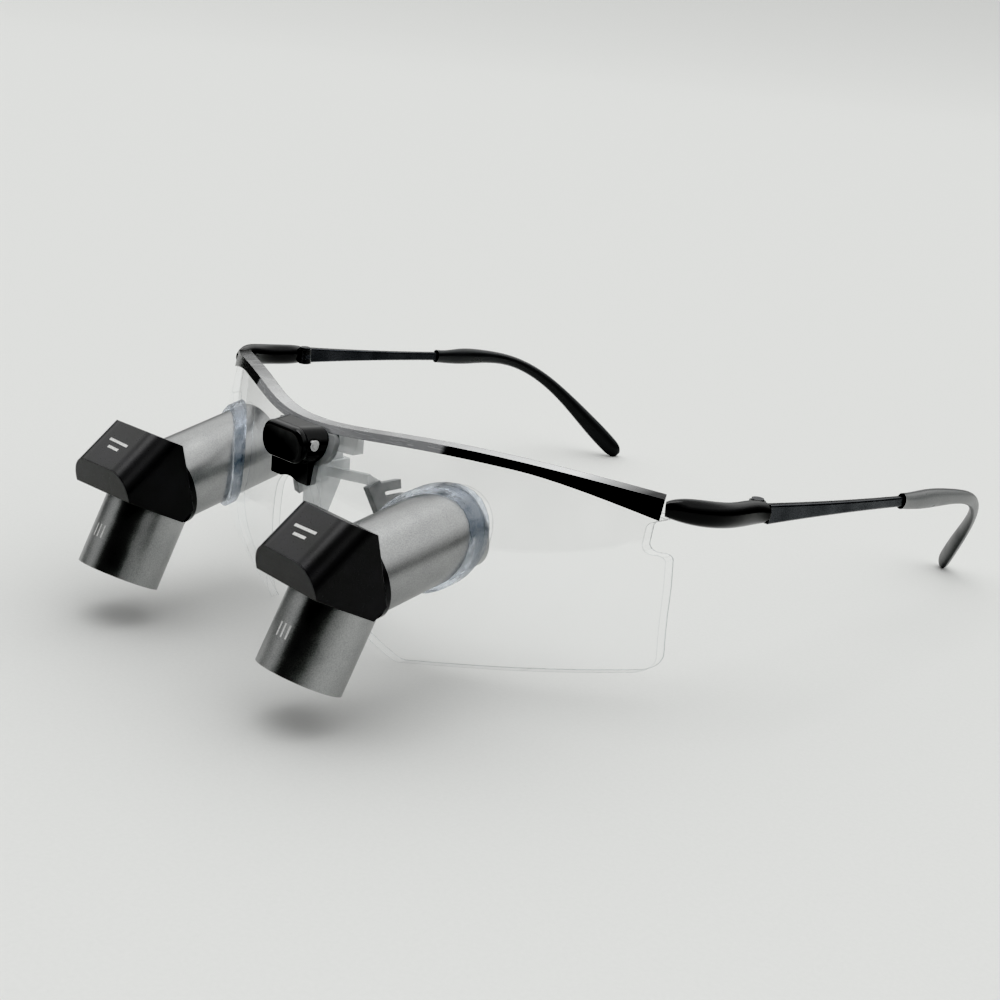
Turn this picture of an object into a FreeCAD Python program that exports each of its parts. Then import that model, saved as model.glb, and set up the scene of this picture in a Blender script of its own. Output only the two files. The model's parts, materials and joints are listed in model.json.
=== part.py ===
import FreeCAD, Part
import math
import os
import Sketcher

# Dental loupes: two prismatic telescopes bonded through a clear shield that hangs from a
# brow bar with folding temples. Row frame: +Z up, +X to the wearer's left, -Y forwards,
# origin on the table under the middle of the overall box. Millimetres and degrees.

os.makedirs("parts", exist_ok=True)
doc = FreeCAD.newDocument("dental_loupes")
sheet = doc.addObject("Spreadsheet::Sheet", "Dims")

DIMENSIONS = [
    # telescopes: the knee is where the eyepiece axis and the objective axis meet
    ("knee_side", 29.95), ("knee_front", -84.1), ("knee_height", 25.9),
    ("convergence", 3.0), ("ocular_slope", 12.9), ("objective_slope", 63.5),
    ("ocular_radius", 8.5), ("ocular_bore", 7.4), ("ocular_length", 23.8),
    ("flange_radius", 9.0), ("flange_thickness", 1.2),
    ("objective_radius", 8.35), ("objective_bore", 7.3), ("objective_length", 14.8),
    ("slip", 0.05), ("light_bore", 5.6), ("rim_recess", 0.7),
    ("lens_edge", 1.6), ("lens_curve", 22.0), ("ring_length", 1.8), ("ring_wall", 1.3),
    # prism housing, drawn along the bisector of the two axes
    ("housing_shift", 0.95), ("housing_width", 17.8), ("crown_half", 5.3), ("crown_height", 14.1),
    ("shoulder_half", 7.9), ("shoulder_height", 8.8), ("heel_half", 1.76), ("heel_height", -4.2),
    ("crown_round", 4.6),
    ("prism_width", 12.0), ("prism_crown_half", 4.8), ("prism_crown", 11.2),
    ("prism_half", 6.4), ("prism_shoulder", 8.2), ("prism_heel_half", 1.4), ("prism_heel", -2.4),
    ("prism_gap", 0.1),
    # seal ring of clear adhesive where each telescope passes through the shield
    ("seal_radius", 9.6), ("seal_thickness", 2.6),
    # front: brow bar and shield share one doubly curved surface; in plan it is a hyperbola
    ("brow_front", -69.0), ("brow_top", 47.7), ("nose_round", 13.0), ("wing_slope", 0.658),
    ("front_tilt", 3.2), ("shield_bow", 56.0), ("eye_bulge", 1.0), ("bulge_side", 45.0),
    ("brow_half", 64.5), ("brow_depth", 2.8), ("brow_thickness", 1.5),
    ("brow_drop", 4.2), ("brow_dip", 1.3), ("dip_half", 20.0),
    ("brow_flare_start", 42.0), ("brow_end_height", 3.9),
    ("groove_depth", 0.6), ("groove_wall", 0.5), ("groove_slip", 0.04),
    # shield outline, depths below the brow's top edge
    ("shield_thickness", 1.8), ("shield_half", 66.6), ("shield_widest", 21.0),
    ("outer_low_half", 66.1), ("outer_low", 38.4), ("outer_corner", 4.6),
    ("nasal_low_half", 19.9), ("nasal_low", 47.8), ("nasal_corner", 1.8),
    ("leg_half", 7.1), ("leg_low", 31.0), ("leg_round", 14.0),
    ("arch_half", 5.4), ("arch_top", 12.3),
    ("notch_low", 14.6), ("notch_top", 8.0), ("notch_half", 62.7), ("notch_radius", 1.8),
    ("notch_flare", 2.5), ("notch_step", 1.0), ("notch_lip", 1.4), ("side_taper", 0.4),
    ("side_radius", 60.0),
    # end pieces, hinges and temples
    ("hinge_side", 68.9), ("hinge_back", -15.1), ("hinge_height", 39.0),
    ("knuckle_radius", 1.6), ("knuckle_height", 1.15), ("knuckle_gap", 0.06),
    ("knuckle_clearance", 0.2), ("pin_radius", 0.6), ("pin_slip", 0.03),
    ("screw_head_radius", 1.2), ("screw_head_height", 0.4),
    ("butt_gap", 0.15), ("temple_side", 71.2), ("temple_splay", 0.037), ("temple_fall", 0.103),
    ("temple_metal", 50.0), ("temple_corner", 90.0), ("temple_leg", 42.5), ("temple_bend", 19.5),
    ("leg_inward", 0.47), ("leg_back", 0.602), ("leg_down", 0.7035),
    ("temple_root", 3.9), ("temple_thin", 2.2), ("temple_thickness", 1.8), ("temple_round", 0.4),
    ("seam_inset", 0.3), ("seam_width", 3.0),
    ("temple_drop", 0.2),
    ("core_radius", 0.6), ("core_length", 14.0),
    # nose piece: bridge bar and toothed stem behind the shield, sliding carriage, pads
    ("bridge_half", 11.0), ("bridge_back", -64.4), ("bridge_low", 41.4), ("bridge_high", 44.6),
    ("stem_half", 2.6), ("stem_front", -67.6), ("stem_back", -62.2), ("stem_foot", 26.0),
    ("stem_knee", 34.0), ("tooth_pitch", 1.5), ("tooth_slope", 0.45), ("tooth_depth", 0.7),
    ("tab_half", 3.6), ("tab_thickness", 1.3), ("tab_top", 45.7),
    ("carriage_low", 34.8), ("carriage_high", 38.2), ("carriage_wall", 1.0),
    ("carriage_slip", 0.12),
    ("arm_side", 3.2), ("arm_front", -67.0), ("arm_level", 36.4), ("arm_reach", 9.6),
    ("arm_angle", 22.0), ("arm_height", 2.2), ("arm_thickness", 1.1), ("hand_length", 3.4),
    ("hand_drop", 32.0),
    ("pad_side", 11.6), ("pad_front", -63.8), ("pad_top", 34.6),
    ("pad_length", 9.4), ("pad_width", 3.4), ("pad_thickness", 1.7), ("pad_rake", 21.0),
    ("finger_length", 4.6), ("finger_height", 1.9), ("finger_pitch", 3.1), ("pad_lean", 12.0),
    # lamp mount in front of the shield's centre
    ("mount_half", 6.3), ("mount_low", 38.8), ("mount_high", 46.1), ("mount_corner", 3.3),
    ("mount_front", -75.9), ("cap_thickness", 1.5), ("cap_round", 0.9), ("mount_base_half", 9.0),
    ("gasket_thickness", 0.8), ("skirt_half", 5.6), ("skirt_ahead", 4.5),
    ("cross_pin_radius", 0.6), ("bush_radius", 1.1), ("bush_length", 0.8), ("cross_pin_half", 6.95),
    ("cross_pin_behind", 2.8), ("cross_pin_height", 43.1), ("skirt_foot", 12.9),
]
for row, (alias, value) in enumerate(DIMENSIONS, start=1):
    sheet.set("A%d" % row, alias)
    sheet.set("B%d" % row, str(value))
    sheet.setAlias("B%d" % row, alias)
doc.recompute()

SIDES = {"left": 1, "right": -1}
X_AXIS = FreeCAD.Vector(1, 0, 0)
Y_AXIS = FreeCAD.Vector(0, 1, 0)
Z_AXIS = FreeCAD.Vector(0, 0, 1)
SUBPARTS = []


def dim(alias):
    return float(sheet.get(alias))


def vec(x, y, z):
    return FreeCAD.Vector(x, y, z)


def place(x=0, y=0, z=0, rotation=None):
    return FreeCAD.Placement(vec(x, y, z), rotation or FreeCAD.Rotation())


def turn(axis, degrees):
    return place(rotation=FreeCAD.Rotation(axis, degrees))


def subpart(item, label):
    """Register a finished piece: its label names its STEP file."""
    item.Label = label
    SUBPARTS.append(item)
    return item


def bind(item, **expressions):
    for name, expression in expressions.items():
        item.setExpression(name, expression)


def cylinder(name, radius, length, where):
    item = doc.addObject("Part::Cylinder", name)
    bind(item, Radius=radius, Height=length)
    item.Placement = where
    return item


def box(name, length, width, height, where):
    item = doc.addObject("Part::Box", name)
    bind(item, Length=length, Width=width, Height=height)
    item.Placement = where
    return item


def combine(kind, name, base, tool):
    item = doc.addObject("Part::" + kind, name)
    item.Base = base
    item.Tool = tool
    return item


def cut(name, base, tool):
    return combine("Cut", name, base, tool)


def fuse(name, *items):
    item = doc.addObject("Part::MultiFuse", name)
    item.Shapes = list(items)
    return item


def solid_feature(name, shape, where=None):
    item = doc.addObject("Part::Feature", name)
    item.Shape = shape
    if where is not None:
        item.Placement = where
    return item


def profile_body(name, corners, thickness, where):
    """A plate or prism: a polygon sketch, each corner bound to the sheet, padded both ways."""
    body = doc.addObject("PartDesign::Body", name)
    sketch = body.newObject("Sketcher::SketchObject", name + "_sketch")
    plane = [item for item in body.Origin.OriginFeatures if item.Role == "XY_Plane"][0]
    sketch.AttachmentSupport = [(plane, "")]
    sketch.MapMode = "FlatFace"
    count = len(corners)
    ring = [vec(math.cos(2 * math.pi * k / count), math.sin(2 * math.pi * k / count), 0)
            for k in range(count)]
    for k in range(count):
        sketch.addGeometry(Part.LineSegment(ring[k], ring[(k + 1) % count]))
    for k in range(count):
        sketch.addConstraint(Sketcher.Constraint("Coincident", k, 2, (k + 1) % count, 1))
    for k, (across, along) in enumerate(corners):
        for kind, value, expression in (("DistanceX", ring[k].x, across),
                                        ("DistanceY", ring[k].y, along)):
            index = sketch.addConstraint(Sketcher.Constraint(kind, -1, 1, k, 1, value))
            sketch.setExpression("Constraints[%d]" % index, expression)
    pad = body.newObject("PartDesign::Pad", name + "_pad")
    pad.Profile = sketch
    pad.SideType = "Symmetric"
    bind(pad, Length=thickness)
    body.Placement = where
    return body


# ---------------------------------------------------------------- telescopes
# A telescope's own frame: origin at its knee, -Y forwards, +Z up, both axes in its YZ plane.

def telescope_frame(side):
    knee = place(side * dim("knee_side"), dim("knee_front"), dim("knee_height"))
    return knee * turn(Z_AXIS, -side * dim("convergence"))


def along(side, slope, distance):
    """Place a round piece with its +Z forwards along an axis, starting at a distance."""
    aim = turn(X_AXIS, 90 + dim(slope))
    return telescope_frame(side) * aim * place(z=distance)


def housing_frame(side):
    """Sketch x runs down the crown of the housing, sketch y out of the crown."""
    slope = math.radians((dim("ocular_slope") + dim("objective_slope")) / 2)
    down = vec(0, -math.cos(slope), -math.sin(slope))
    out = vec(0, -math.sin(slope), math.cos(slope))
    rotation = FreeCAD.Rotation(down, out, down.cross(out), "XYZ")
    shift = down * dim("housing_shift")
    return telescope_frame(side) * place(shift.x, shift.y, shift.z, rotation)


HALF_TURN = math.radians((dim("objective_slope") - dim("ocular_slope")) / 2)


def seat(shift):
    """Distance from the knee to a housing face that stands square to its axis."""
    reach = (dim("shoulder_half") + shift) * math.cos(HALF_TURN)
    return reach - dim("shoulder_height") * math.sin(HALF_TURN)


OCULAR_SEAT = seat(-dim("housing_shift"))
OBJECTIVE_SEAT = seat(dim("housing_shift"))
TUBE_FRONT = -OCULAR_SEAT - dim("flange_thickness")
TUBE_BACK = TUBE_FRONT - dim("ocular_length")
OBJECTIVE_FRONT = OBJECTIVE_SEAT + dim("objective_length")


def trapezoid(crown_half, crown, half, shoulder, heel_half, heel):
    right = [(crown_half, crown), (half, shoulder), (heel_half, heel)]
    left = [("-" + across, along_out) for across, along_out in reversed(right)]
    return [("Dims." + a if not a.startswith("-") else "-Dims." + a[1:], "Dims." + b)
            for a, b in right + left]


def make_housing(side, tag):
    frame = housing_frame(side)
    block = profile_body("housing_block_" + tag, trapezoid(
        "crown_half", "crown_height", "shoulder_half", "shoulder_height", "heel_half",
        "heel_height"), "Dims.housing_width", frame)
    start = -dim("housing_width")
    flat_half = dim("housing_width") / 2 - dim("crown_round")
    ridge = dim("crown_height") - dim("crown_round")
    edges = [cylinder("housing_%s_edge_%s" % (name, tag), "Dims.crown_round",
                      "Dims.housing_width * 2",
                      frame * place(start, ridge, sign * flat_half) * turn(Y_AXIS, 90))
             for name, sign in (("first", -1), ("second", 1))]
    crown = box("housing_crown_" + tag, "Dims.housing_width * 2", "Dims.crown_round * 2",
                "Dims.housing_width - 2 * Dims.crown_round",
                frame * place(start, ridge, -flat_half))
    below = box("housing_below_" + tag, "Dims.housing_width * 2", "Dims.housing_width * 2",
                "Dims.housing_width * 2",
                frame * place(start, ridge - 2 * dim("housing_width"), start))
    rounded = combine("Common", "housing_rounded_" + tag, block,
                      fuse("housing_envelope_" + tag, crown, below, *edges))
    flange = cylinder("housing_flange_" + tag, "Dims.flange_radius", "Dims.flange_thickness",
                      along(side, "ocular_slope", TUBE_FRONT))
    cavity = profile_body("housing_cavity_" + tag, [
        (across + sign, out) for (across, out), sign in zip(trapezoid(
            "prism_crown_half", "prism_crown", "prism_half", "prism_shoulder",
            "prism_heel_half", "prism_heel"), 3 * [" + Dims.prism_gap"] + 3 * [" - Dims.prism_gap"])],
        "Dims.prism_width + 2 * Dims.prism_gap", frame)
    ocular_bore = cylinder("housing_ocular_bore_" + tag, "Dims.light_bore", "Dims.light_bore",
                           along(side, "ocular_slope", TUBE_FRONT - dim("slip")))
    objective_bore = cylinder("housing_objective_bore_" + tag, "Dims.light_bore",
                              "Dims.light_bore",
                              along(side, "objective_slope",
                                    OBJECTIVE_SEAT + dim("slip") - dim("light_bore")))
    barrel_room = cylinder("housing_barrel_room_" + tag, "Dims.objective_radius + Dims.slip",
                           "Dims.objective_length",
                           along(side, "objective_slope", OBJECTIVE_SEAT - dim("slip") / 2))
    shell = fuse("housing_shell_" + tag, rounded, flange)
    hollow = fuse("housing_hollow_" + tag, cavity, ocular_bore, objective_bore, barrel_room)
    subpart(cut("housing_" + tag, shell, hollow), "prism_housing_" + tag)
    prism = profile_body("prism_" + tag, trapezoid(
        "prism_crown_half", "prism_crown", "prism_half", "prism_shoulder", "prism_heel_half",
        "prism_heel"), "Dims.prism_width", frame)
    subpart(prism, "roof_prism_" + tag)


def make_tube(side, tag, label, slope, outer, bore, length, start):
    wall = cylinder(label + "_wall_" + tag, outer, length, along(side, slope, start))
    hole = cylinder(label + "_hole_" + tag, bore, length + " + 2 * Dims.slip",
                    along(side, slope, start - dim("slip")))
    return subpart(cut(label + "_" + tag, wall, hole), label + "_" + tag)


def make_lens(side, tag, label, slope, bore, start):
    """Biconvex glass: the overlap of two large spheres and a cylinder with a plain edge."""
    radius = dim(bore) - dim("slip")
    curve = dim("lens_curve")
    sag = curve - math.sqrt(curve ** 2 - radius ** 2)
    middle = start + sag + dim("lens_edge") / 2
    reach = curve - sag - dim("lens_edge") / 2
    front = doc.addObject("Part::Sphere", label + "_front_" + tag)
    back = doc.addObject("Part::Sphere", label + "_back_" + tag)
    for ball, offset in ((front, -reach), (back, reach)):
        bind(ball, Radius="Dims.lens_curve")
        ball.Placement = along(side, slope, middle + offset)
    rod = cylinder(label + "_rod_" + tag, "Dims." + bore + " - Dims.slip",
                   "Dims.lens_curve", along(side, slope, middle - curve / 2))
    lens = combine("Common", label + "_blank_" + tag, front, back)
    subpart(combine("Common", label + "_" + tag, lens, rod), label + "_" + tag)
    return 2 * sag + dim("lens_edge")


def make_ring(side, tag, label, slope, bore, start):
    outside = "Dims." + bore + " - Dims.slip"
    return make_tube(side, tag, label, slope, outside, outside + " - Dims.ring_wall",
                     "Dims.ring_length", start)


def make_optics(side, tag):
    """Each lens stands against its retaining ring, just inside the tube's mouth."""
    gap = dim("slip")
    start = TUBE_BACK + dim("rim_recess")
    make_ring(side, tag, "eyepiece_ring", "ocular_slope", "ocular_bore", start)
    start += dim("ring_length") + gap
    thickness = make_lens(side, tag, "eye_lens", "ocular_slope", "ocular_bore", start)
    start += thickness + 2 * dim("ring_length")
    make_lens(side, tag, "field_lens", "ocular_slope", "ocular_bore", start)
    start = OBJECTIVE_FRONT - dim("rim_recess") - dim("ring_length")
    make_ring(side, tag, "objective_ring", "objective_slope", "objective_bore", start)
    make_lens(side, tag, "objective_lens", "objective_slope", "objective_bore",
              start - gap - thickness)


def make_telescope(side, tag):
    make_housing(side, tag)
    make_tube(side, tag, "ocular_tube", "ocular_slope", "Dims.ocular_radius", "Dims.ocular_bore",
              "Dims.ocular_length", TUBE_BACK)
    make_tube(side, tag, "objective_barrel", "objective_slope", "Dims.objective_radius",
              "Dims.objective_bore", "Dims.objective_length", OBJECTIVE_SEAT)
    make_optics(side, tag)


# ---------------------------------------------------------------- front
# The front's own frame: origin at the brow's top front edge, +Y backwards, +Z up.

FRONT = place(0, dim("brow_front"), dim("brow_top"))
REACH = 90.0
MARGIN = 3.0
SHIELD_ZONE = -dim("nasal_low") - MARGIN
BROW_ZONE = -4 * MARGIN
SHIELD_FACE = dim("groove_wall")
SHIELD_REAR = SHIELD_FACE + dim("shield_thickness")


def plan_point(x, depth):
    """Point of the front's plan, at a depth behind the brow's face."""
    root = math.hypot(dim("nose_round"), dim("wing_slope") * x)
    slope = dim("wing_slope") ** 2 * x / root
    run = depth / math.hypot(1, slope)
    return vec(x - run * slope, root - dim("nose_round") + run, 0)


def bow(x, z):
    """How far the surface stands back: it bulges forward at mid height, most before each eye."""
    down = -z
    bulge = down * (dim("nasal_low") - down) / (2 * dim("shield_bow"))
    eye = 1 + dim("eye_bulge") * math.sin(math.pi * x / (2 * dim("bulge_side"))) ** 2
    edge = 1 - 0.5 * (x / dim("shield_half")) ** 4
    return down * math.tan(math.radians(dim("front_tilt"))) - bulge * eye * edge


def plan_curve(depth, half, z):
    """The front's plan at one height and depth, with its two ends."""
    steps = 7
    sides = [half * k / steps for k in range(-steps, steps + 1)]
    points = [plan_point(x, depth) + vec(0, bow(x, z), z) for x in sides]
    curve = Part.BSplineCurve()
    curve.interpolate(points)
    return curve.toShape(), points[0], points[-1]


def front_band(front, back, half, low=SHIELD_ZONE, high=MARGIN):
    """The doubly curved plate between two depths behind the brow's face."""
    levels = max(3, round((high - low) / 6) + 1)
    sections = []
    for k in range(levels):
        z = low + (high - low) * k / (levels - 1)
        near, near_left, near_right = plan_curve(front, half, z)
        far, far_left, far_right = plan_curve(back, half, z)
        sections.append(Part.Wire([near, Part.makeLine(near_right, far_right), far,
                                   Part.makeLine(far_left, near_left)]))
    return Part.makeLoft(sections, True, False)


def rounded_outline(corners):
    """Closed wire in the XZ plane through (x, z, radius) corners, each rounded by an arc."""
    edges = []
    stops = []
    count = len(corners)
    for k in range(count):
        here = vec(corners[k][0], 0, corners[k][1])
        before = vec(corners[k - 1][0], 0, corners[k - 1][1]) - here
        after = vec(corners[(k + 1) % count][0], 0, corners[(k + 1) % count][1]) - here
        radius = corners[k][2]
        if radius == 0:
            stops.append((here, here))
            continue
        half_angle = before.getAngle(after) / 2
        run = radius / math.tan(half_angle)
        start = here + before.normalize() * run
        end = here + after.normalize() * run
        middle = here + (before + after).normalize() * (radius / math.sin(half_angle) - radius)
        edges.append(Part.Arc(start, middle, end).toShape())
        stops.append((start, end))
    for k in range(count):
        leave, arrive = stops[k][1], stops[(k + 1) % count][0]
        if leave.distanceToPoint(arrive) > 1e-6:
            edges.append(Part.makeLine(leave, arrive))
    return Part.Wire(Part.__sortEdges__(edges))


def mirrored(corners):
    """Both halves of an outline from its +X half, listed from the centre round."""
    return corners + [(-x, z, radius) for x, z, radius in reversed(corners)]


def prism(wire, start=-REACH, end=REACH):
    face = Part.Face(wire)
    face.translate(vec(0, start, 0))
    return face.extrude(vec(0, end - start, 0))


def brow_top(x):
    """Height of the brow's top edge: it falls to the ends and dips a little at the nose."""
    fall = dim("brow_drop") * abs(x / dim("brow_half")) ** 2.6
    return -fall - dim("brow_dip") * math.exp(-(x / dim("dip_half")) ** 2)


def brow_underside(x):
    flare = max(0, abs(x) - dim("brow_flare_start")) / (dim("brow_half") - dim("brow_flare_start"))
    growth = dim("brow_end_height") - dim("brow_thickness")
    return brow_top(x) - dim("brow_thickness") - growth * flare ** 1.6


def under(curve, lift=0):
    """Everything below a curve z(x) of the front."""
    step = dim("brow_half") / 12
    points = [vec(k * step, 0, curve(k * step) + lift) for k in range(-14, 15)]
    arch = Part.BSplineCurve()
    arch.interpolate(points)
    first, last = points[0], points[-1]
    floor = [vec(last.x, 0, -REACH), vec(first.x, 0, -REACH)]
    sides = [Part.makeLine(last, floor[0]), Part.makeLine(*floor), Part.makeLine(floor[1], first)]
    return prism(Part.Wire([arch.toShape()] + sides))


def tube_opening(side):
    opening = Part.makeCylinder(dim("ocular_radius") + dim("slip"), REACH)
    opening.Placement = FRONT.inverse() * along(side, "ocular_slope", -REACH)
    return opening


def nose_arch():
    """Round post that fills the top of the nose arch."""
    centre = -dim("arch_top") - dim("arch_half")
    return Part.makeCylinder(dim("arch_half"), 2 * REACH, vec(0, -REACH, centre), Y_AXIS)


def make_shield():
    outer = dim("notch_half") + dim("notch_flare")
    right = [
        (dim("arch_half"), -dim("arch_top"), dim("arch_half") - dim("slip")),
        (dim("leg_half"), -dim("leg_low"), dim("leg_round")),
        (dim("nasal_low_half"), -dim("nasal_low"), dim("nasal_corner")),
        (dim("outer_low_half"), -dim("outer_low"), dim("outer_corner")),
        (dim("shield_half"), -dim("shield_widest"), dim("side_radius")),
        (dim("shield_half") - dim("side_taper"), -dim("notch_low"), dim("notch_lip")),
        (dim("notch_half"), -dim("notch_low"), dim("notch_radius")),
        (dim("notch_half"), -dim("notch_top") - dim("notch_step"), dim("notch_step")),
        (outer, -dim("notch_top"), 0),
        (outer, dim("notch_step"), 0),
    ]
    wire = rounded_outline(mirrored(right))
    plate = front_band(SHIELD_FACE, SHIELD_REAR, dim("shield_half") + MARGIN)
    plate = plate.common(prism(wire))
    plate = plate.common(under(brow_underside, dim("groove_depth") - dim("groove_slip")))
    for side in SIDES.values():
        plate = plate.cut(tube_opening(side))
    return subpart(solid_feature("shield", plate, FRONT), "shield_lens")


def make_brow():
    bar = front_band(0, dim("brow_depth"), dim("brow_half"), BROW_ZONE)
    bar = bar.common(under(brow_top)).cut(under(brow_underside))
    slot = front_band(SHIELD_FACE - dim("groove_slip"), SHIELD_REAR + dim("groove_slip"),
                      dim("brow_half") + MARGIN, BROW_ZONE)
    bar = bar.cut(slot.common(under(brow_underside, dim("groove_depth"))))
    return subpart(solid_feature("brow", bar, FRONT), "brow_bar")


def make_seal(side, tag):
    """Bead of clear adhesive round the eyepiece tube, lying on the shield's front face."""
    bead = Part.makeCylinder(dim("seal_radius"), REACH)
    bead.Placement = FRONT.inverse() * along(side, "ocular_slope", -REACH)
    slab = front_band(SHIELD_FACE - dim("seal_thickness"), SHIELD_FACE - dim("slip"),
                      dim("brow_half"))
    bead = bead.common(slab).cut(tube_opening(side))
    subpart(solid_feature("seal_" + tag, bead, FRONT), "seal_ring_" + tag)


# ---------------------------------------------------------------- end pieces and temples

def oval(centre, heading, width, height):
    """Upright oval across a heading: width is its thickness, height its tall side."""
    ahead = vec(*heading).normalize()
    up = (Z_AXIS - ahead * Z_AXIS.dot(ahead)).normalize()
    ellipse = Part.Ellipse(vec(0, 0, 0), height / 2, width / 2)
    ring = Part.Wire(ellipse.toShape())
    ring.Placement = FreeCAD.Placement(
        vec(*centre), FreeCAD.Rotation(up, ahead.cross(up), ahead, "XYZ"))
    return ring


def hinge_level(index):
    """Height of the foot of one of the three knuckles, counted upwards."""
    pitch = dim("knuckle_height") + dim("knuckle_gap")
    return dim("hinge_height") + (index - 1) * pitch - dim("knuckle_height") / 2


def hinge_cylinder(side, radius, low, high):
    post = Part.makeCylinder(radius, high - low)
    post.translate(vec(side * dim("hinge_side"), dim("hinge_back"), low))
    return post


def knuckle(side, index, extra=0.0):
    low = hinge_level(index)
    spread = dim("knuckle_gap") if extra else 0.0
    return hinge_cylinder(side, dim("knuckle_radius") + extra, low - spread,
                          low + dim("knuckle_height") + spread)


def pin_hole(side):
    return hinge_cylinder(side, dim("pin_radius") + dim("pin_slip"), 0, REACH)


def mirror_to(side, shape):
    return shape if side > 0 else shape.mirror(vec(0, 0, 0), X_AXIS)


# Ovals from the brow's end to the seam: how far inwards and ahead of the seam and above the
# hinge each stands, the way it faces, its width and its height.
END_PIECE_SECTIONS = [
    (6.6, 23.2, 2.7, (1, 0.6, 0.05), 1.8, 2.8),
    (4.9, 20.6, 2.5, (1, 1.1, 0), 2.9, 4.4),
    (2.2, 16.0, 1.8, (0.5, 1, -0.1), 3.5, 5.0),
    (0.8, 9.0, 0.9, (0.1, 1, -0.1), 3.5, 4.9),
]


def make_end_piece(side, tag, front):
    seam = dim("hinge_back") - dim("butt_gap") / 2
    arm = dim("temple_side")
    middle = dim("hinge_height")
    sections = [oval((arm - inward, seam - ahead, middle + lift), heading, width, height)
                for inward, ahead, lift, heading, width, height in END_PIECE_SECTIONS]
    sections.append(oval((arm - dim("seam_inset"), seam, middle), Y_AXIS, dim("seam_width"),
                         dim("temple_root") + dim("butt_gap")))
    body = mirror_to(side, Part.makeLoft(sections, True, False))
    for piece in front:
        body = body.cut(piece)
    body = body.cut(knuckle(side, 1, dim("knuckle_clearance")))
    body = body.multiFuse([knuckle(side, 0), knuckle(side, 2)])
    subpart(solid_feature("end_piece_" + tag, body.cut(pin_hole(side))), "end_piece_" + tag)


def temple_point(distance):
    """Centre line of a straight temple, at a distance behind the hinge."""
    return vec(dim("temple_side") + dim("temple_splay") * distance,
               dim("hinge_back") + distance,
               dim("hinge_height") - dim("temple_drop") - dim("temple_fall") * distance)


HEADING = (temple_point(1) - temple_point(0)).normalize()


def bar_section(distance, width, height):
    centre = temple_point(distance)
    corners = [vec(x, 0, z) for x, z in ((-1, -1), (1, -1), (1, 1), (-1, 1))]
    points = [centre + vec(corner.x * width / 2, 0, corner.z * height / 2) for corner in corners]
    return Part.makePolygon(points + points[:1])


def core(side, radius, start):
    rod = Part.makeCylinder(radius, dim("core_length") + start, temple_point(
        dim("temple_metal")) - HEADING * start, HEADING)
    return mirror_to(side, rod)


def make_temple(side, tag):
    end = dim("temple_metal")
    start = dim("butt_gap") / 2
    thick = dim("temple_thickness")
    bar = Part.makeLoft([bar_section(start, thick, dim("temple_root")),
                         bar_section(0.45 * end, 0.9 * thick, 0.68 * dim("temple_root")),
                         bar_section(end, 0.78 * thick, dim("temple_thin"))], True, False)
    long_edges = [edge for edge in bar.Edges if edge.BoundBox.YLength > end / 2]
    bar = bar.makeFillet(dim("temple_round"), long_edges)
    bar = mirror_to(side, bar).fuse(core(side, dim("core_radius"), 1.0))
    for index in (0, 2):
        bar = bar.cut(knuckle(side, index, dim("knuckle_clearance")))
    web = Part.makeBox(dim("temple_side") - dim("hinge_side"), dim("knuckle_radius") - start,
                       dim("knuckle_height"),
                       vec(dim("hinge_side"), dim("hinge_back") + start, hinge_level(1)))
    bar = bar.multiFuse([mirror_to(side, web), knuckle(side, 1)])
    bar = bar.cut(pin_hole(side)).removeSplitter()
    subpart(solid_feature("temple_" + tag, bar), "temple_" + tag)


def tip_path(count):
    """Centre points and headings of a temple tip: straight, a soft bend, then the leg."""
    corner = temple_point(dim("temple_corner"))
    leg = vec(-dim("leg_inward"), dim("leg_back"), -dim("leg_down")).normalize()
    start = corner - HEADING * dim("temple_bend")
    end = corner + leg * dim("temple_bend")
    path = []
    for k in range(count):
        u = k / (count - 1)
        point = start * (1 - u) ** 2 + corner * 2 * u * (1 - u) + end * u ** 2
        path.append((point, (corner - start) * (1 - u) + (end - corner) * u))
    return path, leg


# A tip's ovals, front to back: two on the straight sleeve, four round the bend, four down the
# leg. Runs are millimetres from the sleeve's mouth, and shares are parts of the leg's length.
SLEEVE_RUNS = (0, 9)
LEG_SHARES = (0.4, 0.8, 0.94, 1)
TIP_OVALS = [(2.3, 3.5), (2.5, 4.3), (2.4, 3.7), (2.1, 3.0), (2.1, 3.2), (2.3, 3.9),
             (2.6, 4.8), (2.6, 5.0), (2.2, 4.0), (0.9, 1.8)]


def make_tip(side, tag):
    bend, leg = tip_path(4)
    first = dim("temple_metal") + dim("slip")
    rest = dim("temple_leg") - dim("temple_bend")
    centres = [(temple_point(first + run), HEADING) for run in SLEEVE_RUNS]
    centres += bend
    centres += [(bend[-1][0] + leg * rest * share, leg) for share in LEG_SHARES]
    sections = [oval(centre, heading, width, height)
                for (centre, heading), (width, height) in zip(centres, TIP_OVALS)]
    body = mirror_to(side, Part.makeLoft(sections, True, False))
    body = body.cut(core(side, dim("core_radius") + dim("slip"), 1.0))
    subpart(solid_feature("temple_tip_" + tag, body), "temple_tip_" + tag)


def make_hinge_screws():
    screws = []
    for side in SIDES.values():
        top = hinge_level(2) + dim("knuckle_height") + dim("slip")
        shank = hinge_cylinder(side, dim("pin_radius"), hinge_level(0), top)
        head = hinge_cylinder(side, dim("screw_head_radius"), top, top + dim("screw_head_height"))
        screws.append(shank.fuse(head).removeSplitter())
    subpart(solid_feature("hinge_screws", Part.makeCompound(screws)), "hinge_screws")


# ---------------------------------------------------------------- nose piece

def upright(name, corners, half_width):
    """A piece drawn from the side (Y, Z) and padded both ways from the middle plane."""
    side_on = FreeCAD.Rotation(Y_AXIS, Z_AXIS, X_AXIS, "XYZ")
    return profile_body(name, corners, "2 * Dims." + half_width, place(rotation=side_on))


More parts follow.
